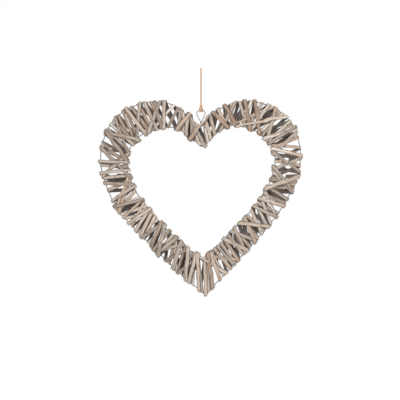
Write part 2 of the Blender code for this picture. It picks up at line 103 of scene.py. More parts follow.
# Each strip of willow: its width in millimetres, then every crossing of the front, by its stations on the
# outer and the inner wire: percent of the way from notch to tip, negative on the left, and past 100 on round
# the tip. It crosses the back from one crossing to the next, and later strips lie over earlier ones.
STRIPS = (
    (7.6, (4.6, 7.4), (12.4, 16.0), (15.0, 23.4), (22.4, 23.6), (28.2, 31.0), (34.4, 33.6)),
    (7.2, (54.4, 52.0), (48.0, 44.2), (42.3, 36.8), (38.9, 38.4)),
    (7.8, (53.4, 52.8), (55.6, 56.2), (61.0, 60.2)),
    (8.0, (65.0, 64.6), (72.4, 72.0), (75.4, 74.6), (79.0, 80.4), (82.4, 83.8), (86.0, 88.8)),
    (6.2, (84.4, 96.6), (91.4, 94.4), (98.6, 96.8)),
    (7.6, (1.8, 2.6), (-1.9, -3.2), (-4.4, -1.6), (-7.2, -10.4), (-10.8, -24.6)),
    (7.6, (-18.2, -20.2), (-22.2, -24.8), (-24.6, -26.2), (-26.4, -32.2), (-29.4, -35.4), (-31.4, -34.6)),
    (7.4, (-33.0, -35.6), (-34.9, -39.0), (-41.8, -42.6), (-46.6, -46.2)),
    (8.0, (-62.2, -56.8), (-54.8, -52.2), (-50.6, -50.0)),
    (7.6, (-60.4, -60.8), (-63.4, -65.4), (-64.9, -69.9), (-71.2, -73.2), (-75.8, -77.6), (-79.8, -82.6)),
    (7.4, (-85.0, -84.4), (-88.6, -89.8)),
    (7.2, (-88.2, -83.8), (-79.2, -88.6), (-91.2, -93.4), (-95.0, -94.6), (-98.8, -96.8)),
    (7.6, (26.0, 11.1), (13.9, 10.2)),
    (7.6, (2.4, 4.7), (7.8, 13.9), (18.8, 21.0), (24.6, 25.4), (29.8, 28.8), (33.2, 34.6)),
    (8.6, (5.8, 14.2), (10.2, 18.3), (16.7, 24.8), (19.9, 29.6)),
    (7.1, (73.4, 69.0), (70.6, 65.8), (69.2, 61.8), (66.5, 58.5), (57.0, 48.9)),
    (7.8, (26.9, 34.0), (37.0, 41.2), (45.5, 48.2)),
    (7.6, (45.0, 38.3), (36.5, 32.3), (31.5, 18.5)),
    (7.3, (59.6, 56.2), (56.8, 46.8), (50.2, 40.3), (35.5, 35.8)),
    (7.6, (66.2, 67.0), (76.2, 82.0), (86.7, 90.9)),
    (8.0, (77.0, 73.2), (81.5, 79.5), (84.9, 86.3), (88.4, 92.5)),
    (8.9, (51.4, 57.5), (62.0, 62.6), (70.0, 76.8), (80.3, 86.5)),
    (6.4, (-4.2, -5.2), (-9.2, -17.8), (-17.0, -20.5), (-27.4, -34.2), (-30.4, -40.8), (-39.2, -46.0)),
    (8.0, (-4.6, 0.9), (-5.6, -8.6), (-8.3, -13.0), (-15.2, -26.6), (-21.5, -33.0)),
    (8.0, (-62.6, -51.0), (-50.2, -40.0), (-36.4, -32.4)),
    (5.8, (-68.5, -63.5), (-64.7, -62.2), (-61.2, -49.6)),
    (8.0, (-35.6, -43.8), (-40.8, -51.0), (-52.2, -54.6), (-60.2, -62.3)),
    (7.1, (-58.4, -55.2), (-49.0, -47.6), (-45.4, -44.2)),
    (8.6, (3.8, -6.5), (-5.2, -13.6), (-14.0, -19.7), (-20.2, -22.9), (-26.2, -28.3)),
    (8.2, (-73.8, -71.2), (-72.6, -68.8), (-70.4, -67.0), (-67.0, -67.5)),
    (7.8, (-73.0, -75.8), (-77.3, -75.0), (-78.5, -80.0), (-83.5, -91.4), (-89.0, -97.0)),
    (8.9, (-87.0, -87.0), (-80.0, -84.5), (-80.8, -76.6)),
    (8.2, (90.2, 103.0), (106.4, 104.6), (107.6, 109.0)),
    (8.0, (93.4, 95.0), (100.0, 98.4), (102.2, 104.0)),
    (8.4, (97.0, 96.0)),
)

# Strips that pass this close, in shares of a wire, cross. Their crossing is longer at each end by this share
# of the stretch, and takes it all if one drifts so much more than the other. One passes over the other if it
# is a layer higher at both ends of the stretch, or so many all along the crossing.
BESIDE = 0.002
SPARE_ROOM = 0.08
MOST_SLANT = 0.03
CLEAR_LAYERS = 1.3

# The search for layers prefers low ones, above all on the wires, small steps and, in front, passing over.
MOST_LAYERS = 12
RIM_COST = 4
STEP_COST = 0.5
UNDER_COST = 2.5
WAYS_KEPT = 4

# Directions are read over this share of a wire, and a crossing drifts at most so far past its ends.
READING_STEP = 0.004
MOST_DRIFT = 0.04

# One strand of the loop, from the knot up: shares of the loop's width, front to back, and of its height, down
# from the top. The other one mirrors it.
STRAND = (
    (0.13, 1.0), (0.145, 0.83), (0.2, 0.64), (0.29, 0.44), (0.4, 0.26), (0.48, 0.14), (0.5, 0.077),
    (0.354, 0.0225),
)

# Each foot of a strand stands this far off the middle and reaches this far into the knot.
FOOT_ASIDE = 0.00143
FOOT_DEPTH = 0.0012

# One strand's way into its knot, and the coil there: where it starts and how long it is, in turns, half its
# width and how far it sags at the sides.
KNOT_START = (
    (0.0, -0.00143, -LOOP_HEIGHT + 0.0004), (-0.0008, -0.0013, -0.074), (-0.0014, -0.0011, -0.0762),
    (-0.0023, -0.0016, -0.0793),
)
COIL_STEPS = 40
COIL_START, COIL_TURNS = -0.06, 2.62
COIL_HALF = 0.0029
COIL_SAG = 0.0004

# The right side of the eye, from the neck up: shares of half its width and of its height.
EYE_SIDE = ((0.6, 0.36), (0.98, 0.73), (0.72, 0.93))
LEG_STEPS = 28

# The photo's side in pixels, how many metres a pixel takes at the heart, and the pixel that the picture's
# middle falls on, seen from the pixel of the origin.
PHOTO_SIDE = 400
PIXEL = 0.4 / 204.5
AIM = (-1.0, -132.0)
CAMERA_AWAY = 2.2
SENSOR = 0.036

# The studio: its floor, how bright its walls light the heart, and each lamp's place, size and power.
FLOOR_LEVEL = -1.5
FLOOR_RADIUS = 4.2
FLOOR_SIDES = 96
WALL_LIGHT = 0.47
LAMPS = (
    ("key", (-0.9, -2.3, 0.7), 1.4, 42),
    ("fill", (1.5, -1.9, -0.1), 1.6, 20),
    ("behind", (0.4, 2.2, 0.9), 1.6, 26),
)

# Strips: how high their crown and edges stand above the middle of the solid, the share that flattens the
# crown round a wire, the hollow of the inner face, the share of the solid's width that the outer face takes,
# the least that it keeps where the strip slants, and how much the width tapers.
CROWN, EDGE = 0.00086, -0.0003
CROWN_POWER = 2.3
FLATTENED = 0.45
HOLLOW = 0.00014
FACE_WIDTH = 0.88
LEAST_WIDTH = 0.82
TAPER = 0.04

# The outer face's points go round this share of half a turn, and the inner face's start this share of the way
# out. The ends are cut askew by a slope between these two, over this length.
OUTER_POINTS, OUTER_TURN = 17, 0.94
INNER_POINTS, INNER_EDGE = 7, 0.985
END_SLOPES, END_LENGTH = (0.1, 0.3), 0.009

# Bends have these radii at the wires and half way. The line is read in fine steps, evened out over these
# lengths, and cut into rings at long steps, more often at turns and buds.
RIM_BEND, FACE_BEND = 0.0038, 0.03
ARC = 6
FINE = 0.0004
LINE_SPREAD, FACE_SPREAD = 0.0012, 0.0022
LONG_STEP, BUD_STEP = 0.0024, 0.001
TURN_STEP = math.radians(9)
SHARP_EDGE = math.radians(42)

# How far a strip strays from an even shape, and over what waves.
WIDTH_WANDER = 0.08, 0.07
SIDE_WANDER = 0.00035, 0.05
LIFT_WANDER = 0.0001, 0.04
TWIST_WANDER = math.radians(4), 0.06

# The ridges of the grain: how many sets, their height, how far apart, and how far and over what waves they
# drift and fade. The inner face reads the same grain this far off.
FIBRES = 7
RELIEF = 0.00009
FIBRE_WAVES = (0.0012, 0.0034)
DRIFT = 2.2, 0.09
FADE = 0.5, 0.05
INNER_GRAIN = 0.05

# Splits: one to a strip and at most one more for so much length, and how long, far aside, crooked, deep and
# wide they are.
SPLIT_SPACING = 0.16
SPLIT_LENGTHS = (0.02, 0.07)
SPLIT_ASIDE = 0.0022
SPLIT_STRAY = 0.0004, 0.05
SPLIT_DEPTH, SPLIT_WIDTH = 0.0003, 0.00028

# Buds: how far along the first and each next one is, how far aside, and the room left after the last. Each
# swells the strip, and has a mound, a scar and a stain: how high, and their sizes along and across.
FIRST_BUD, NEXT_BUD = (0.015, 0.06), (0.045, 0.11)
BUD_ASIDE, BUD_ROOM = (0.0004, 0.0018), 0.01
BUD_SWELL, SWELL_LENGTH = 0.05, 0.004
MOUND = 0.0003, 0.0026, 0.0017
SCAR = -0.00026, 0.001, 0.0007
STAIN = 1.0, 0.0024, 0.0015

# How high strips lie is read at so many places in a stretch. On the wires and at their ends they keep these
# shares of the height of their solids. Where one crosses another it rises by the stack, fully so once they
# share this much of their width. It eases up and down over this length, is rounded off over that one, and
# settles in so many rounds.
PARTS = 10
RIM_SHARE = 0.15
END_SHARE = 0.45
STACK = 0.0015
FULL_SHARE = 0.16
EASE = 0.0042
ROUND_OFF = 0.0018
SETTLES = 12

# Twine: three plies twisted round each other, swollen and slightly uneven, each of twisted threads.
PLIES = 3
PLY_PITCH = 0.0092
PLY_SIDES = 10
PLY_RADIUS = TWINE / 2 / (1 + 2 / math.sqrt(3))
PLY_SWELL = 1.15
PLY_WANDER = 0.05, 0.012
THREADS, THREAD_PITCH, THREAD_RELIEF = 5, 0.0033, 0.07

# Its loose hairs: their radius, points, lengths and sideways lean, how much of its length one rises and how
# far at most, where it starts, as a share of the twine's diameter, and how it curls.
HAIR = 0.00005
HAIR_POINTS = 6
HAIR_LENGTHS = (0.0012, 0.0034)
HAIR_LEAN = 0.4
HAIR_RISE, MOST_RISE = (0.2, 0.9), 0.0013
HAIR_ROOT = 0.42
HAIR_CURL = 1.6

# Wires, drawn round and very slightly uneven.
WIRE_SIDES = 12
WIRE_WANDER = 0.02, 0.02


def smooth_curve(knots, steps):
    """A Catmull-Rom curve through the knots, steps points to a stretch, closed if it ends where it began."""
    closed = (knots[0] - knots[-1]).length < 1e-9
    before = knots[-2] if closed else knots[0] * 2 - knots[1]
    after = knots[1] if closed else knots[-1] * 2 - knots[-2]
    line = [before, *knots, after]
    times = [0.0]
    for a, b in zip(line, line[1:]):
        times.append(times[-1] + math.sqrt((b - a).length))
    points = []
    for i in range(1, len(line) - 2):
        at = times[i - 1 : i + 3]
        for k in range(steps):
            t = at[1] + (at[2] - at[1]) * k / steps
            near = line[i - 1 : i + 3]
            for span in (1, 2):
                shares = [(t - a) / (b - a) for a, b in zip(at, at[span:])]
                near = [p.lerp(q, share) for p, q, share in zip(near, near[1:], shares)]
            points.append(near[0].lerp(near[1], (t - at[1]) / (at[2] - at[1])))
    return points + [knots[-1]]


class HeartWire:
    """One of the two heart-shaped wires, read by station: 0 at the notch, 1 or -1 at the tip."""

    STEPS = 16

    def __init__(self, right, left):
        rights, lefts = [
            [Vector((side * x / 1000 * HEART_WIDTH, NOTCH + up / 1000 * HEART_HEIGHT)) for x, up in half]
            for side, half in ((1, right), (-1, left))
        ]
        self.knots = rights + lefts[-2:0:-1] + [rights[0]]
        line = smooth_curve(self.knots, self.STEPS)
        tip = (len(rights) - 1) * self.STEPS
        self.halves = {1: self.measured(line[: tip + 1]), -1: self.measured(line[tip:][::-1])}

    @staticmethod
    def measured(points):
        along = [0.0]
        for a, b in zip(points, points[1:]):
            along.append(along[-1] + (b - a).length)
        return [s / along[-1] for s in along], points

    def at(self, station):
        station = (station + 1) % 2 - 1
        shares, points = self.halves[1 if station >= 0 else -1]
        share = abs(station)
        i = min(max(bisect.bisect_right(shares, share) - 1, 0), len(shares) - 2)
        return points[i].lerp(points[i + 1], (share - shares[i]) / (shares[i + 1] - shares[i]))


class Band:
    """The band between the two wires. A cut through it has six corners, each at a share of the way from the
    outer to the inner wire and at a depth: three on the front, and back again behind."""

    CORNERS = (
        (0.0, -RIM_DEPTH / 2), (0.5, -BAND_DEPTH / 2), (1.0, -RIM_DEPTH / 2),
        (1.0, RIM_DEPTH / 2), (0.5, BAND_DEPTH / 2), (0.0, RIM_DEPTH / 2),
    )
    FRONT = (0, 1, 2)
    BACK = (3, 4, 5)
    HALF_WAY = (1, 4)

    def __init__(self):
        self.outer = HeartWire(OUTER_RIGHT, OUTER_LEFT)
        self.inner = HeartWire(INNER_RIGHT, INNER_LEFT)

    def point(self, station, share):
        return self.outer.at(station).lerp(self.inner.at(station), share)

    def along(self, station, share):
        """The direction of growing station there, in metres for each unit of station."""
        ahead = self.point(station + READING_STEP, share)
        return (ahead - self.point(station - READING_STEP, share)) / (2 * READING_STEP)

    def inward(self, station, share):
        """The direction across the band there, square to its length."""
        along = self.along(station, share)
        square = Vector((-along.y, along.x)).normalized()
        across = self.inner.at(station) - self.outer.at(station)
        return square if square.dot(across) > 0 else -square

    def corner(self, station, number):
        """A corner's point in space, and a way out of the band there."""
        share, depth = self.CORNERS[number]
        out = self.inward(station, share) * (2 * share - 1)
        flat = self.point(station, share) + out * RIM_GAP
        return Vector((flat.x, depth, flat.y)), Vector((out.x, math.copysign(1, depth), out.y))


class Section:
    """One cut through a strip, at a corner of the band."""

    def __init__(self, band, width, station, number, run=None):
        """The run is the strip's direction there, in the plane of the heart, if it isn't straight across."""
        along = band.along(station, Band.CORNERS[number][0])
        speed = along.length
        sine = 1.0 if run is None else max(abs(run.cross(along)) / speed, LEAST_SINE)
        half = width / 2 / sine
        self.number = number
        self.station = station
        self.half = half / speed
        self.centre, self.out = band.corner(station, number)
        self.reach = Vector((along.x, 0.0, along.y)) / speed * half


class Strip:
    """One strip of willow, from its first end behind the band, round and round, to its last end."""

    def __init__(self, band, width, crossings):
        outer, inner = crossings[0][0], crossings[-1][1]
        self.sections = [Section(band, width, outer, number) for number in (4, 5)]
        for k, (start, end) in enumerate(crossings):
            self.cross(band, width, start, end, Band.FRONT)
            if k + 1 < len(crossings):
                self.cross(band, width, end, crossings[k + 1][0], Band.BACK)
        self.sections += [Section(band, width, inner, number) for number in (3, 4)]
        self.layers = []

    def cross(self, band, width, start, end, corners):
        """The strip runs straight across one face, from a station on one wire to a station on the other."""
        near, half, far = [Band.CORNERS[number][0] for number in corners]
        a = band.point(start, near)
        run = (band.point(end, far) - a).normalized()
        stations = (start, self.meeting(band, a, run, half, start, end), end)
        self.sections += [Section(band, width, s, number, run) for s, number in zip(stations, corners)]

    @staticmethod
    def meeting(band, a, run, share, start, end):
        """Where the straight run from a meets the line that keeps this share of the band's width."""

        def offset(station):
            return (band.point(station, share) - a).cross(run)

        low, high = min(start, end) - MOST_DRIFT, max(start, end) + MOST_DRIFT
        rising = offset(high) > offset(low)
        for _ in range(30):
            middle = (low + high) / 2
            if (offset(middle) > 0) == rising:
                high = middle
            else:
                low = middle
        return (low + high) / 2


def shared(a, b, shift):
    """From and to which share of the way two stretches between the same corners share room, if they do."""
    start, end = 0.0, 1.0
    for side in (1, -1):
        clear = [side * (p.station - q.station - shift) - p.half - q.half - BESIDE for p, q in zip(a, b)]
        if min(clear) >= 0:
            return None
        if max(clear) > 0:
            meeting = clear[0] / (clear[0] - clear[1])
            start, end = (max(start, meeting), end) if clear[0] > 0 else (start, min(end, meeting))
    drifts = [stretch[1].station - stretch[0].station for stretch in (a, b)]
    if abs(drifts[0] - drifts[1]) > MOST_SLANT:
        return 0.0, 1.0
    return max(start - SPARE_ROOM, 0.0), min(end + SPARE_ROOM, 1.0)


def neighbours(strip, index, laid):
    """The laid stretches that share room with the stretch of this strip that ends at a section."""
    stretch = strip.sections[index - 1 : index + 1]
    found = []
    for other, key in laid.get(stretch[0].number, ()):
        if other is strip and key >= index - 1:
            continue
        pair = other.sections[key : key + 2]
        shift = 2 * round((stretch[0].station - pair[0].station) / 2)
        room = shared(stretch, pair, shift)
        if room:
            found.append((other, key, room))
    return found


def clears(near, far, room):
    """Whether a strip that lies so many layers higher at the ends of a stretch passes over the other."""
    rises = [near + (far - near) * share for share in room]
    return min(near, far) >= 1 or min(rises) >= CLEAR_LAYERS


def ways_on(path, cost, pairs, number, front):
    """Each layer that the strip can go on to, clear of the stretches it meets, with what it costs."""
    weight = 1 if number in Band.HALF_WAY else RIM_COST
    for layer in range(MOST_LAYERS):
        over = [clears(path[-1] - first, layer - last, room) for first, last, room in pairs]
        under = [clears(first - path[-1], last - layer, room) for first, last, room in pairs]
        if all(a or b for a, b in zip(over, under)):
            step = abs(layer - path[-1])
            passed = sum(under) if front else 0
            yield cost + weight * layer * layer + STEP_COST * step + UNDER_COST * passed, path + (layer,)


def lay(strip, laid):
    """Chooses a layer for every section, so that the strip passes over or under each one that it meets."""
    for index, section in enumerate(strip.sections[:-1]):
        laid.setdefault(section.number, []).append((strip, index))
    best = [(layer, (layer,)) for layer in range(MOST_LAYERS)]
    for index in range(1, len(strip.sections)):
        near = neighbours(strip, index, laid)
        front = strip.sections[index - 1].number in Band.FRONT[:-1]
        grown = []
        for cost, path in best:
            pairs = []
            for other, key, room in near:
                layers = path if other is strip else other.layers
                pairs.append((layers[key], layers[key + 1], room))
            grown += ways_on(path, cost, pairs, strip.sections[index].number, front)
        grown.sort(key=lambda way: way[0])
        kept = {}
        for way in grown:
            ends = kept.setdefault(way[1][-1], [])
            if len(ends) < WAYS_KEPT:
                ends.append(way)
        best = [way for ends in kept.values() for way in ends]
    strip.layers = min(best, key=lambda way: way[0])[1]


def twisted_leg():
    """The leg of the eye before the outer wire, from its cut end up to the neck. The other one is the same,
    turned half round, and they twist round each other below and above the wire."""
    points = []
    for k in range(LEG_STEPS + 1):
        up = -PIGTAIL + (NECK_HEIGHT + PIGTAIL) * k / LEG_STEPS
        clear = max(abs(up) - STRADDLE, 0.0)
        turn = clear / (NECK_HEIGHT - STRADDLE) / 4 if up > 0 else -clear / TWIST_PITCH
        angle = (turn - 0.25) * 2 * math.pi
        fade = min(max(abs(up) / STRADDLE - 0.6, 0.0), 1.0)
        bulge = (FRAME_WIRE / 2 + TOUCH_GAP) * (1 - fade * fade * (3 - 2 * fade))
        spread = (EYE_WIRE + TOUCH_GAP) / 2 + bulge
        points.append(Vector((math.cos(angle) * spread, math.sin(angle) * spread, NOTCH + up)))
    return points


def eye_route():
    """The hanging eye's wire: up the leg before the outer wire, over and down the one behind it."""
    leg = twisted_leg()
    other = [Vector((-p.x, -p.y, p.z)) for p in leg]
    side = [Vector((across * EYE_WIDTH / 2, 0.0, EYE_NECK + up * EYE_HEIGHT)) for across, up in EYE_SIDE]
    back = [Vector((-p.x, p.y, p.z)) for p in reversed(side)]
    bend = [*leg[-2:], *side, Vector((0.0, 0.0, EYE_TOP)), *back, other[-1], other[-2]]
    return [*leg[:-1], *smooth_curve(bend, 10)[10:-10], *other[-2::-1]]


def linear(*colour):
    """A colour given as on a screen, from 11 to 255, as the light that it stands for."""
    return tuple(((c / 255 + 0.055) / 1.055) ** 2.4 for c in colour)


def smoothed(values, spread, step):
    """The rows of values, evened out along the line by a bell curve of this spread."""
    reach = int(3 * spread / step) + 1
    bell = np.exp(-((np.arange(-reach, reach + 1) * step / spread) ** 2) / 2)
    padded = np.pad(values, ((reach, reach), (0, 0)), mode="edge")
    return np.stack([np.convolve(column, bell / bell.sum(), mode="valid") for column in padded.T], axis=1)


def unit(vectors):
    return vectors / np.linalg.norm(vectors, axis=1, keepdims=True)


def arc_length(line):
    return np.concatenate([[0.0], np.cumsum(np.linalg.norm(np.diff(line, axis=0), axis=1))])


def read_at(at, along, rows):
    return np.stack([np.interp(at, along, column) for column in rows.T], axis=1)


def wander(rng, s, size, wave):
    """A smooth random wave along s, up to about this size either way: the sum of four plain ones."""
    total = np.zeros_like(s)
    for _ in range(4):
        turns = 2 * math.pi * s / (wave * rng.uniform(0.6, 1.7))
        total += rng.uniform(0.5, 1.0) * np.sin(turns + rng.uniform(0, 2 * math.pi))
    return size * (total / 4 * 1.3)


def spot(off, out, height, long, wide):
    """A round spot that fades out, at these distances along and across from its middle."""
    return height * np.exp(-((off / long) ** 2) - (out / wide) ** 2)


def linked(name, data):
    obj = bpy.data.objects.new(name, data)
    bpy.context.scene.collection.objects.link(obj)
    return obj


def new_piece(name, points, faces, **attributes):
    """A smooth-shaded mesh piece, with named vectors on its points for its material to read."""
    mesh = bpy.data.meshes.new(name)
    mesh.from_pydata(points, [], faces)
    mesh.update()
    for key, values in attributes.items():
        mesh.attributes.new(key, "FLOAT_VECTOR", "POINT").data.foreach_set("vector", np.ravel(values))
    mesh.shade_smooth()
    mesh.set_sharp_from_angle(angle=SHARP_EDGE)
    return linked(name, mesh)


def ring_faces(count, size, closed=False):
    """Quads between the rings of a tube, each ring having size points, in the order that faces them out."""
    a = np.arange(count if closed else count - 1)[:, None] * size
    b = (a + size) % (count * size)
    k = np.arange(size)
    nxt = (k + 1) % size
    return np.stack([a + k, a + nxt, b + nxt, b + k], axis=2).reshape(-1, 4).tolist()


def caps(count, size):
    """Fans over the two ends of a tube whose points are followed by the middles of its ends."""
    end = count * size
    faces = [(end, (k + 1) % size, k) for k in range(size)]
    return faces + [(end + 1, end - size + k, end - size + (k + 1) % size) for k in range(size)]


def bells(along, spread):
    """Weights that even out values at these lengths along a line by bell curves, a row for each."""
    weight = np.exp(-(((along[:, None] - along) / spread) ** 2) / 2) * np.gradient(along)
    return weight / weight.sum(axis=1, keepdims=True)


def crossings(stretches):
    """Which places of the strips lie right over which others, and by how much they must clear them."""
    over, under, need = [], [], []
    for group in stretches.values():
        for i, (first, station, half, layer) in enumerate(group):
            for other, its_station, its_half, its_layer in group[:i]:
                shift = 2 * round((station[0] - its_station[0]) / 2)
                room = half + its_half
                share = (room - np.abs(station - its_station - shift)) / room / FULL_SHARE
                places = np.nonzero(share > 0)[0]
                if not len(places):
                    continue
                share = np.clip(share[places], 0, 1)
                above = (layer > its_layer)[places]
                mine, its = first + places, other + places
                over.append(np.where(above, mine, its))
                under.append(np.where(above, its, mine))
                need.append(STACK * share * share * (3 - 2 * share))
    return np.concatenate(over), np.concatenate(under), np.concatenate(need)


def lifts(strips):
    """How high each strip lies over the band, at even places along its stretches: as high as its solid half
    way across the band, and on the wires as what truly lies under it makes it."""
    share = np.arange(PARTS + 1) / PARTS
    stretches, spans, alongs, heights = {}, [], [], []
    total = 0
    for strip in strips:
        count = len(strip.sections) - 1
        keep = [1.0 if section.number in Band.HALF_WAY else RIM_SHARE for section in strip.sections]
        keep[0] = keep[-1] = END_SHARE
        rise = [layer * kept for layer, kept in zip(strip.layers, keep)]
        centres = np.array([section.centre for section in strip.sections])
        at = np.arange(count * PARTS + 1) / PARTS
        alongs.append(np.interp(at, np.arange(count + 1), arc_length(centres)))
        heights.append(np.interp(at, np.arange(count + 1), rise) * LAYER_PITCH)
        for k in range(count):
            p, q = strip.sections[k : k + 2]
            values = ((p.station, q.station), (p.half, q.half), (strip.layers[k], strip.layers[k + 1]))
            rows = [a + (b - a) * share for a, b in values]
            stretches.setdefault(p.number, []).append((total + k * PARTS, *rows))
        spans.append(slice(total, total + count * PARTS + 1))
        total += count * PARTS + 1
    height = np.concatenate(heights)
    over, under, need = crossings(stretches)
    easing = [bells(along, EASE) for along in alongs]
    for _ in range(SETTLES):
        for _ in range(4):
            np.maximum.at(height, over, height[under] + need)
        for span, bell in zip(spans, easing):
            height[span] = np.maximum(height[span], bell @ height[span])
    return [bells(along, ROUND_OFF) @ height[span] for along, span in zip(alongs, spans)]


class Run:
    """The smooth line that a strip follows, with the way that its face looks, at even fine steps."""

    def __init__(self, strip, lift):
        middles, looks = self.knots(strip)
        places, faces, passed = self.rounded(strip, middles, looks)
        along = arc_length(places)
        self.s = np.linspace(0, along[-1], int(along[-1] / FINE) + 1)
        step = self.s[1]
        base = read_at(self.s, along, places)
        base[1:-1] = smoothed(base, LINE_SPREAD, step)[1:-1]
        self.face = unit(smoothed(read_at(self.s, along, faces), FACE_SPREAD, step))
        corners = np.interp(self.s, along, passed)
        height = np.interp(corners, np.arange(len(lift)) / PARTS, lift)
        self.line = base + self.face * (height + STRIP_THICKNESS / 2)[:, None]
        number = np.arange(len(strip.sections))
        reach = read_at(corners, number, np.array([section.reach for section in strip.sections]))
        self.reach = smoothed(reach, LINE_SPREAD, step)
        at_wire = [0.0 if section.number in Band.HALF_WAY else 1.0 for section in strip.sections]
        self.wire = np.interp(corners, number, at_wire)
        self.s = arc_length(self.line)
        self.length = self.s[-1]

    @staticmethod
    def knots(strip):
        middles = [section.centre for section in strip.sections]
        looks = []
        for k in range(len(middles) - 1):
            p, q = strip.sections[k : k + 2]
            face = (middles[k + 1] - middles[k]).cross(p.reach + q.reach).normalized()
            looks.append(face if face.dot(p.out + q.out) > 0 else -face)
        for end, beyond in ((0, 1), (-1, -2)):
            middles[end] = middles[end].lerp(middles[beyond], END_SHORT)
        return middles, looks

    @staticmethod
    def rounded(strip, middles, looks):
        """The line with its corners rounded, the way its face looks, and how many corners have passed."""
        places, faces, passed = [middles[0]], [looks[0]], [END_SHORT]
        for k in range(1, len(middles) - 1):
            here = middles[k]
            back, ahead = middles[k - 1] - here, middles[k + 1] - here
            turn = math.pi - back.angle(ahead)
            bend = FACE_BEND if strip.sections[k].number in Band.HALF_WAY else RIM_BEND
            cut = min(bend * math.tan(turn / 2), 0.49 * min(back.length, ahead.length))
            a, c = here + back.normalized() * cut, here + ahead.normalized() * cut
            for j in range(ARC + 1):
                q = j / ARC
                places.append(a.lerp(here, q).lerp(here.lerp(c, q), q))
                faces.append(looks[k - 1].lerp(looks[k], q))
                passed.append(k - (1 - q) ** 2 * cut / back.length + q**2 * cut / ahead.length)
        places.append(middles[-1])
        faces.append(looks[-1])
        passed.append(len(middles) - 1 - END_SHORT)
        return np.array(places), np.array(faces), passed

    def sampled(self, buds):
        """The same at chosen steps: long ones where the strip is plain, short ones at its bends and buds."""
        direction = unit(np.diff(self.line, axis=0))
        cosine = np.clip(np.sum(direction[1:] * direction[:-1], axis=1), -1, 1)
        turn = np.concatenate([[0.0], np.arccos(cosine)])
        step = np.diff(self.s)
        weight = step / LONG_STEP + turn / TURN_STEP
        for place in buds:
            weight += step / BUD_STEP * np.exp(-(((self.s[1:] - place) / MOUND[1]) ** 2))
        at = np.concatenate([[0.0], np.cumsum(weight)])
        chosen = np.interp(np.linspace(0, at[-1], math.ceil(at[-1]) + 1), at, self.s)
        tangent = unit(read_at(chosen, self.s, np.gradient(self.line, self.s, axis=0)))
        reach = read_at(chosen, self.s, self.reach)
        face = unit(np.cross(reach, tangent))
        if np.sum(face * read_at(chosen, self.s, self.face)) < 0:
            reach, face = -reach, -face
        return chosen, read_at(chosen, self.s, self.line), tangent, reach, face


def fibres(rng, s, across):
    """Ridges of the grain, which run along the strip, come and go and wander slowly sideways."""
    relief = np.zeros_like(across)
    for _ in range(FIBRES):
        wave = rng.uniform(*FIBRE_WAVES)
        drift = wander(rng, s, *DRIFT) + rng.uniform(0, 2 * math.pi)
        strength = 0.6 + wander(rng, s, *FADE)
        relief += strength[:, None] * np.sin(2 * math.pi * across / wave + drift[:, None])
    return relief * RELIEF


def splits(rng, s, across, length):
    """Thin splits that open along the grain."""
    relief = np.zeros_like(across)
    for _ in range(rng.integers(1, 2 + int(length / SPLIT_SPACING))):
        start, size = rng.uniform(0, length), rng.uniform(*SPLIT_LENGTHS)
        window = np.clip(1 - ((s - start - size / 2) / (size / 2)) ** 2, 0, 1)
        middle = rng.uniform(-SPLIT_ASIDE, SPLIT_ASIDE) + wander(rng, s, *SPLIT_STRAY)
        line = np.exp(-(((across - middle[:, None]) / SPLIT_WIDTH) ** 2))
        relief -= SPLIT_DEPTH * window[:, None] * line
    return relief


def bud_places(rng, length):
    """Where the buds of the stem were: so far along the strip, and so far across it."""
    places = []
    at = rng.uniform(*FIRST_BUD)
    while at < length - BUD_ROOM:
        places.append((at, rng.choice([-1, 1]) * rng.uniform(*BUD_ASIDE)))
        at += rng.uniform(*NEXT_BUD)
    return places


def with_ends(rows):
    """The points of rings in one list, followed by the middles of the first and the last ring."""
    return np.concatenate([rows.reshape(-1, 3), rows[[0, -1]].mean(axis=1)])


def placed(run, rng, width, buds):
    """The strip's rings, slightly uneven: lengths along it, middles, tangents, ways across and out, and half
    its width there."""
    s, line, tangent, reach, face = run.sampled([at for at, _ in buds])
    side = reach / (width / 2)
    square = np.linalg.norm(np.cross(side, tangent), axis=1, keepdims=True)
    side *= np.maximum(LEAST_WIDTH / square, 1)
    lean = wander(rng, s, *TWIST_WANDER)[:, None]
    side, face = side * np.cos(lean) + face * np.sin(lean), face * np.cos(lean) - side * np.sin(lean)
    taper = TAPER * np.cos(math.pi * s / run.length)
    swell = FACE_WIDTH + wander(rng, s, *WIDTH_WANDER) + taper
    for at, _ in buds:
        swell += BUD_SWELL * np.exp(-(((s - at) / SWELL_LENGTH) ** 2))
    line = line + side * wander(rng, s, *SIDE_WANDER)[:, None]
    line = line + face * wander(rng, s, *LIFT_WANDER)[:, None]
    return s, line, tangent, side, face, (width / 2 * swell)[:, None]


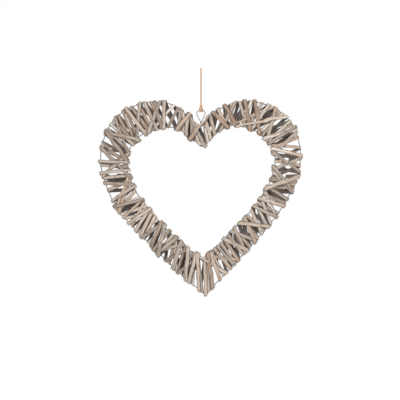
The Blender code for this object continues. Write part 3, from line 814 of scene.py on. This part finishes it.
def willow_piece(name, strip, lift, width, number):
    """A strip of split willow: crowned outside with its grain, splits and buds, slightly hollow inside."""
    rng = np.random.default_rng(number)
    run = Run(strip, lift)
    buds = bud_places(rng, run.length)
    s, line, tangent, side, face, half = placed(run, rng, width, buds)

    turns = np.linspace(-0.5, 0.5, OUTER_POINTS) * math.pi * OUTER_TURN
    outer = np.sin(turns) / math.sin(OUTER_TURN / 2 * math.pi)
    inner = np.linspace(INNER_EDGE, -INNER_EDGE, INNER_POINTS)
    across, under = outer * half, inner * half
    flat = FLATTENED * np.clip(2 * np.interp(s, run.s, run.wire) - 1, 0, 1)[:, None]
    height = EDGE + (CROWN - EDGE) * (1 - np.abs(outer) ** CROWN_POWER) * (1 - flat)
    fade = 1 - np.abs(outer) ** 6
    height = height + fade * (fibres(rng, s, across) + splits(rng, s, across, run.length))
    stain = np.zeros_like(across)
    for at, aside in buds:
        off, out = (s - at)[:, None], across - aside
        height = height + spot(off, out, *MOUND) + spot(off, out, *SCAR)
        stain = np.maximum(stain, spot(off, out, *STAIN))
    floor = -STRIP_THICKNESS / 2 + HOLLOW * (1 - inner**2) + 0.5 * fibres(rng, s, under)
    ring_across = np.concatenate([across, under], axis=1)
    ring_height = np.concatenate([height, floor], axis=1)
    slope = rng.uniform(*END_SLOPES, 2) * rng.choice([-1, 1], 2)
    near = [np.clip(1 - left / END_LENGTH, 0, 1) for left in (s, run.length - s)]
    askew = (slope[0] * near[0] + slope[1] * near[1])[:, None] * ring_across

    points = line[:, None] + side[:, None] * ring_across[..., None] + face[:, None] * ring_height[..., None]
    points += tangent[:, None] * askew[..., None]
    along = np.broadcast_to(s[:, None], ring_across.shape)
    grain = np.stack([along, ring_across, np.full_like(ring_across, number)], axis=2)
    grain[:, OUTER_POINTS:, 1] += INNER_GRAIN
    form = np.zeros_like(points)
    # How near each point lies to an edge, which the material darkens with wear and painted shade.
    form[:, :, 0] = np.abs(np.concatenate([outer, inner]))
    form[:, OUTER_POINTS:, 1] = 1.0
    form[:, :OUTER_POINTS, 2] = stain
    faces = ring_faces(*along.shape) + caps(*along.shape)
    return new_piece(name, with_ends(points), faces, grain=with_ends(grain), form=with_ends(form))


def carried(line, first, closed=False):
    """Tangents of a line and a way square to it that turns as little as may be, from the first one on."""
    if closed:
        tangent = unit(np.roll(line, -1, axis=0) - np.roll(line, 1, axis=0))
    else:
        tangent = unit(np.gradient(line, axis=0))
    square = [np.array(first, float)]
    for t in tangent:
        way = square[-1] - t * np.dot(square[-1], t)
        square.append(way / np.linalg.norm(way))
    return tangent, np.array(square[1:])


def tube(line, first, radius, sides, number, closed=False):
    """A tube round a line, closed to a ring or capped at its ends: its points, faces and grain."""
    tangent, square = carried(line, first, closed)
    other = np.cross(square, tangent)
    turn = 2 * math.pi * np.arange(sides) / sides
    radius = np.broadcast_to(radius, (len(line), sides))
    out = square[:, None] * np.cos(turn)[:, None] + other[:, None] * np.sin(turn)[:, None]
    s = np.broadcast_to(arc_length(line)[:, None], radius.shape)
    around = np.broadcast_to(turn * np.mean(radius), radius.shape)
    points = (line[:, None] + out * radius[..., None]).reshape(-1, 3)
    grain = np.stack([s, around, np.full(radius.shape, number)], axis=2).reshape(-1, 3)
    faces = ring_faces(len(line), sides, closed)
    if not closed:
        points = np.concatenate([points, line[[0, -1]]])
        grain = np.concatenate([grain, grain[[0, -sides]]])
        faces += caps(len(line), sides)
    return points, faces, grain


def wire_piece(name, line, diameter, number, closed=False):
    """A drawn wire, very slightly uneven."""
    wave = wander(np.random.default_rng(number), arc_length(line), *WIRE_WANDER)
    radius = diameter / 2 * (1 + wave)[:, None]
    points, faces, grain = tube(line, (0, 1, 0), radius, WIRE_SIDES, number, closed)
    return new_piece(name, points, faces, grain=grain)


def twisted(line, number, hairs):
    """Three plies of twine twisted along a line, with loose hairs: points, faces and grain."""
    rng = np.random.default_rng(number)
    tangent, square = carried(line, (1, 0, 0))
    other = np.cross(square, tangent)
    s = arc_length(line)
    tubes = []
    turn = np.arange(PLY_SIDES) * 2 * math.pi / PLY_SIDES
    for ply in range(PLIES):
        angle = 2 * math.pi * (s / PLY_PITCH + ply / PLIES)
        out = square * np.cos(angle)[:, None] + other * np.sin(angle)[:, None]
        core = line + out * (PLY_RADIUS * 2 / math.sqrt(3))
        threads = np.sin(THREADS * turn - 2 * math.pi * s[:, None] / THREAD_PITCH + ply)
        uneven = wander(rng, s, *PLY_WANDER)[:, None]
        radius = PLY_RADIUS * (PLY_SWELL + uneven + THREAD_RELIEF * threads)
        tubes.append(tube(core, out[0], radius, PLY_SIDES, number + ply))
    bend = np.linspace(0, 1, HAIR_POINTS)
    for _ in range(hairs):
        k = rng.integers(3, len(line) - 3)
        angle, size = rng.uniform(0, 2 * math.pi), rng.uniform(*HAIR_LENGTHS)
        out = square[k] * math.cos(angle) + other[k] * math.sin(angle)
        aside = np.cross(tangent[k], out) * rng.uniform(-HAIR_LEAN, HAIR_LEAN)
        ahead = tangent[k] * rng.choice([-1, 1])
        rise = rng.uniform(*HAIR_RISE) * min(size, MOST_RISE)
        run = line[k] + out * TWINE * HAIR_ROOT + np.outer(bend * size, ahead + aside)
        run += np.outer(bend**HAIR_CURL * rise, out)
        tubes.append(tube(run, out, (HAIR * (1.05 - bend))[:, None], 3, number))
    points, faces, grain = zip(*tubes)
    starts = np.cumsum([0] + [len(some) for some in points]).tolist()
    faces = [[start + k for k in face] for start, some in zip(starts, faces) for face in some]
    return np.concatenate(points), faces, np.concatenate(grain)


# The willows: how much of each is tan, and its deep, middling and pale shades and its tan.
WILLOW = (
    (0.55, (128, 113, 101), (184, 168, 153), (217, 205, 193), (196, 157, 124)),
    (0.4, (142, 126, 112), (198, 182, 167), (229, 219, 209), (204, 168, 137)),
    (0.5, (112, 99, 90), (166, 150, 137), (203, 190, 178), (181, 141, 111)),
    (0.35, (124, 113, 104), (181, 168, 156), (217, 208, 199), (190, 155, 127)),
)


class Graph:
    """The nodes of one material, made one after another and joined to its shader."""

    def __init__(self, name, **shader):
        self.material = bpy.data.materials.new(name)
        self.material.use_nodes = True
        self.tree = self.material.node_tree
        self.shader = self.tree.nodes["Principled BSDF"]
        self.done(**shader)

    def put(self, socket, value):
        if isinstance(value, bpy.types.NodeSocket):
            self.tree.links.new(value, socket)
        else:
            socket.default_value = value

    def make(self, kind, output, inputs, **settings):
        node = self.tree.nodes.new("ShaderNode" + kind)
        for key, value in settings.items():
            setattr(node, key, value)
        for key, value in inputs.items():
            self.put(node.inputs[key], value)
        return node.outputs[output]

    def done(self, **sockets):
        for key, value in sockets.items():
            self.put(self.shader.inputs[key.replace("_", " ")], value)
        return self.material

    def attribute(self, name):
        return self.make("Attribute", "Vector", {}, attribute_name=name)

    def place(self):
        return self.make("TexCoord", "Object", {})

    def split(self, vector):
        first = self.make("SeparateXYZ", 0, {0: vector})
        return first, first.node.outputs[1], first.node.outputs[2]

    def math(self, operation, a, b):
        return self.make("Math", 0, {0: a, 1: b}, operation=operation)

    def noise(self, vector, scale, detail, roughness=0.55, shift=(0, 0, 0)):
        vector = self.make("VectorMath", 0, {0: vector, 1: scale, 2: shift}, operation="MULTIPLY_ADD")
        inputs = {"Vector": vector, "Scale": 1.0, "Detail": detail, "Roughness": roughness}
        return self.make("TexNoise", 0, inputs)

    def remap(self, value, low, high, to_low, to_high):
        inputs = {"Value": value, "From Min": low, "From Max": high, "To Min": to_low, "To Max": to_high}
        return self.make("MapRange", 0, inputs, interpolation_type="SMOOTHSTEP")

    def mix(self, share, a, b, blend="MIX"):
        a, b = [(*c, 1.0) if isinstance(c, tuple) else c for c in (a, b)]
        return self.make("Mix", 2, {0: share, 6: a, 7: b}, data_type="RGBA", blend_type=blend)

    def over(self, colour, other, value, low, high, start, end, blend="MIX"):
        """The colour with another laid over it, by a share that goes from start to end with a value."""
        return self.mix(self.remap(value, low, high, start, end), colour, other, blend)

    def ramp(self, value, *stops):
        output = self.make("ValToRGB", 0, {0: value})
        elements = output.node.color_ramp.elements
        while len(elements) < len(stops):
            elements.new(1.0)
        for element, (at, colour) in zip(elements, stops):
            element.position = at
            element.color = (*colour, 1.0)
        return output

    def bump(self, height, distance):
        return self.make("Bump", 0, {"Height": height, "Distance": distance, "Strength": 1.0})


def willow_material(name, tan_share, *colours):
    """Grey-washed split willow: its bark side weathered and streaked, its edges darker with wear and painted
    shade, its split side dark.
    """
    deep, body, pale, tan = [linear(*colour) for colour in colours]
    g = Graph(name, Specular_IOR_Level=0.32)
    grain = g.attribute("grain")
    edge, inside, bud = g.split(g.attribute("form"))
    own = g.noise(grain, (0.0, 0.0, 7.31), 0.0, shift=(3.7, 1.9, 0.5))
    patches = g.noise(grain, (16, 340, 3.1), 3.0)
    tone = g.math("ADD", g.math("MULTIPLY", patches, 0.75), g.math("MULTIPLY", own, 0.4))
    colour = g.ramp(tone, (0.36, deep), (0.5, body), (0.6, body), (0.72, pale))
    warm = g.noise(grain, (11, 70, 5.7), 2.0, shift=(9.1, 0, 0))
    tanned = g.noise(grain, (0.0, 0.0, 5.77), 0.0, shift=(1.3, 8.2, 2.4))
    streaks = g.noise(grain, (26, 950, 2.3), 4.0, 0.6)
    fine = g.noise(grain, (130, 4600, 1.7), 3.0, 0.6)
    rim_wear_and_shade = g.math("ADD", edge, g.math("MULTIPLY", g.math("SUBTRACT", patches, 0.5), 0.35))
    for layer in (
        (tan, warm, 0.5, 0.72, 0.0, tan_share),
        (tan, tanned, 0.52, 0.68, 0.0, 0.45),
        (deep, streaks, 0.34, 0.52, 0.66, 0.0, "MULTIPLY"),
        (pale, fine, 0.48, 0.68, 0.0, 0.52),
        (deep, fine, 0.3, 0.5, 0.66, 0.0),
        # Darker towards the strips' edges: partly worn edges, partly painted shade where strips roll away and
        # meet.
        (linear(82, 71, 64), rim_wear_and_shade, 0.56, 0.98, 0.0, 0.8),
        (linear(96, 76, 60), bud, 0.15, 0.85, 0.0, 0.62),
    ):
        colour = g.over(colour, *layer)
    shades = linear(106, 96, 91), linear(134, 123, 116), linear(170, 157, 147)
    split = g.ramp(streaks, *zip((0.36, 0.52, 0.68), shades))
    colour = g.mix(inside, colour, split)
    height = g.math("ADD", g.math("MULTIPLY", streaks, 0.6), g.math("MULTIPLY", fine, 0.4))
    rough = g.remap(streaks, 0.3, 0.7, 0.72, 0.92)
    return g.done(Base_Color=colour, Roughness=rough, Normal=g.bump(height, 0.00035))


def wire_material():
    """Dull galvanised wire, blue-grey, with patches of zinc."""
    g = Graph("galvanised_wire", Metallic=0.85)
    grain = g.attribute("grain")
    flakes = g.noise(g.place(), (420, 420, 420), 3.0)
    draw = g.noise(grain, (60, 2600, 1.3), 2.0)
    shades = linear(96, 101, 106), linear(146, 152, 158), linear(186, 190, 193)
    colour = g.ramp(flakes, *zip((0.32, 0.55, 0.72), shades))
    colour = g.over(colour, linear(88, 88, 90), draw, 0.35, 0.6, 0.35, 0.0)
    rough = g.remap(flakes, 0.3, 0.7, 0.38, 0.62)
    return g.done(Base_Color=colour, Roughness=rough, Normal=g.bump(draw, 0.00006))


def jute_material():
    """Twisted jute: golden tan threads, darker between them."""
    g = Graph("jute", Specular_IOR_Level=0.3, Sheen_Weight=0.35, Sheen_Roughness=0.5)
    grain = g.attribute("grain")
    threads = g.noise(grain, (420, 5200, 3.3), 3.0, 0.6)
    patches = g.noise(grain, (60, 160, 5.1), 2.0)
    shades = linear(142, 102, 70), linear(202, 160, 124), linear(230, 198, 166)
    colour = g.ramp(threads, *zip((0.28, 0.5, 0.72), shades))
    colour = g.over(colour, linear(190, 140, 100), patches, 0.42, 0.68, 0.0, 0.4)
    rough = g.remap(threads, 0.3, 0.7, 0.8, 0.97)
    return g.done(Base_Color=colour, Roughness=rough, Normal=g.bump(threads, 0.0002))


def floor_material():
    g = Graph("studio_floor", Roughness=0.9)
    soft = g.noise(g.place(), (2.2, 2.2, 2.2), 2.0)
    fine = g.noise(g.place(), (160, 160, 160), 3.0)
    colour = g.over((0.8, 0.8, 0.79), (0.84, 0.84, 0.83), soft, 0.3, 0.7, 0.0, 1.0)
    return g.done(Base_Color=colour, Normal=g.bump(fine, 0.0004))


def twine_route():
    """The twine's way from inside the knot, up the front strand, over the top and down the back one."""
    shares = [(-across, down) for across, down in STRAND] + [(0.0, 0.0), *STRAND[::-1]]
    scale = LOOP_HEIGHT - TWINE / 2
    knots = [Vector((0.0, across * LOOP_WIDTH, -TWINE / 2 - down * scale)) for across, down in shares]
    feet = [Vector((0.0, side * FOOT_ASIDE, -LOOP_HEIGHT - FOOT_DEPTH)) for side in (-1, 1)]
    return smooth_curve([feet[0], *knots, feet[1]], 18)


def knot_route():
    """The twine's way through its knot: from one strand down, round the eye's wire and up to the other."""
    coil = []
    radius = (EYE_WIRE + TWINE) / 2 + TOUCH_GAP / 3
    for k in range(COIL_STEPS + 1):
        share = k / COIL_STEPS
        turn = (COIL_START + COIL_TURNS * share) * 2 * math.pi
        x = -COIL_HALF + 2 * COIL_HALF * share
        middle = EYE_TOP - COIL_SAG * (x / 0.003) ** 2
        coil.append((x, -radius * math.cos(turn), middle - radius * math.sin(turn)))
    end = [(-x, -y, z) for x, y, z in reversed(KNOT_START)]
    return smooth_curve([Vector(p) for p in (*KNOT_START, *coil, *end)], 8)


def dressed(piece, node, material):
    """Puts a piece in the place of its CAD node."""
    piece.data.materials.append(material)
    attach(piece, "root")
    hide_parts(node)


def camera():
    data = bpy.data.cameras.new("photo_camera")
    data.sensor_width = SENSOR * 1000
    data.lens = SENSOR * 1000 * CAMERA_AWAY / (PHOTO_SIDE * PIXEL)
    obj = linked("photo_camera", data)
    obj.location = (AIM[0] * PIXEL, -CAMERA_AWAY, AIM[1] * PIXEL)
    obj.rotation_euler = (math.pi / 2, 0.0, 0.0)
    bpy.context.scene.camera = obj


def lamp(name, place, size, power):
    """A square softbox that looks at the middle of the heart."""
    data = bpy.data.lights.new(name, "AREA")
    data.size = size
    data.energy = power
    obj = linked(name, data)
    obj.location = place
    ahead = Vector((0.0, 0.0, NOTCH - 0.1)) - Vector(place)
    obj.rotation_euler = ahead.to_track_quat("-Z", "Y").to_euler()


def studio():
    """White walls that light the heart less than they show, three lamps and the floor."""
    scene = bpy.context.scene
    scene.view_settings.view_transform = "Standard"
    world = bpy.data.worlds.new("studio")
    world.use_nodes = True
    scene.world = world
    tree = world.node_tree
    seen = tree.nodes["Background"]
    lit = tree.nodes.new("ShaderNodeBackground")
    for background, strength in ((seen, 1.0), (lit, WALL_LIGHT)):
        background.inputs["Color"].default_value = (1.0, 1.0, 1.0, 1.0)
        background.inputs["Strength"].default_value = strength
    path = tree.nodes.new("ShaderNodeLightPath")
    choose = tree.nodes.new("ShaderNodeMixShader")
    for socket, source in enumerate((path.outputs["Is Camera Ray"], lit.outputs[0], seen.outputs[0])):
        tree.links.new(source, choose.inputs[socket])
    tree.links.new(choose.outputs[0], tree.nodes["World Output"].inputs["Surface"])
    for light in LAMPS:
        lamp(*light)
    turns = [2 * math.pi * k / FLOOR_SIDES for k in range(FLOOR_SIDES)]
    ring = [(FLOOR_RADIUS * math.cos(t), FLOOR_RADIUS * math.sin(t), FLOOR_LEVEL) for t in turns]
    floor = bpy.data.meshes.new("floor")
    floor.from_pydata(ring, [], [tuple(range(FLOOR_SIDES))])
    floor.materials.append(floor_material())
    obj = linked("floor", floor)


def loop():
    jute = jute_material()
    route = twine_route()
    pieces = []
    for node, line, number, hairs in (("twine_knot", knot_route(), 500, 110), ("twine", route, 400, 260)):
        points, faces, grain = twisted(np.array(line), number, hairs)
        pieces.append(new_piece(node + "_piece", points, faces, grain=grain))
        dressed(pieces[-1], node, jute)


def wires(band):
    steel = wire_material()
    for name, wire, number in (("outer_wire", band.outer, 601), ("inner_wire", band.inner, 602)):
        line = np.array([(p.x, 0.0, p.y) for p in smooth_curve(wire.knots, 12)[:-1]])
        piece = wire_piece(name + "_piece", line, FRAME_WIRE, number, closed=True)
        dressed(piece, name, steel)
    eye = wire_piece("hanging_eye_piece", np.array(eye_route()), EYE_WIRE, 603)
    dressed(eye, "hanging_eye", steel)


def willow(band):
    materials = [willow_material(f"willow_{k + 1}", *row) for k, row in enumerate(WILLOW)]
    laid, strips = {}, []
    for width, *fronts in STRIPS:
        strips.append(Strip(band, width / 1000, [(outer / 100, inner / 100) for outer, inner in fronts]))
        lay(strips[-1], laid)
    for number, (strip, lift) in enumerate(zip(strips, lifts(strips))):
        name = f"willow_strip_{number + 1:02d}"
        piece = willow_piece(name + "_piece", strip, lift, STRIPS[number][0] / 1000, number + 1)
        kind = number % len(materials)
        dressed(piece, name, materials[kind])


camera()
loop()
band = Band()
wires(band)
willow(band)
studio()
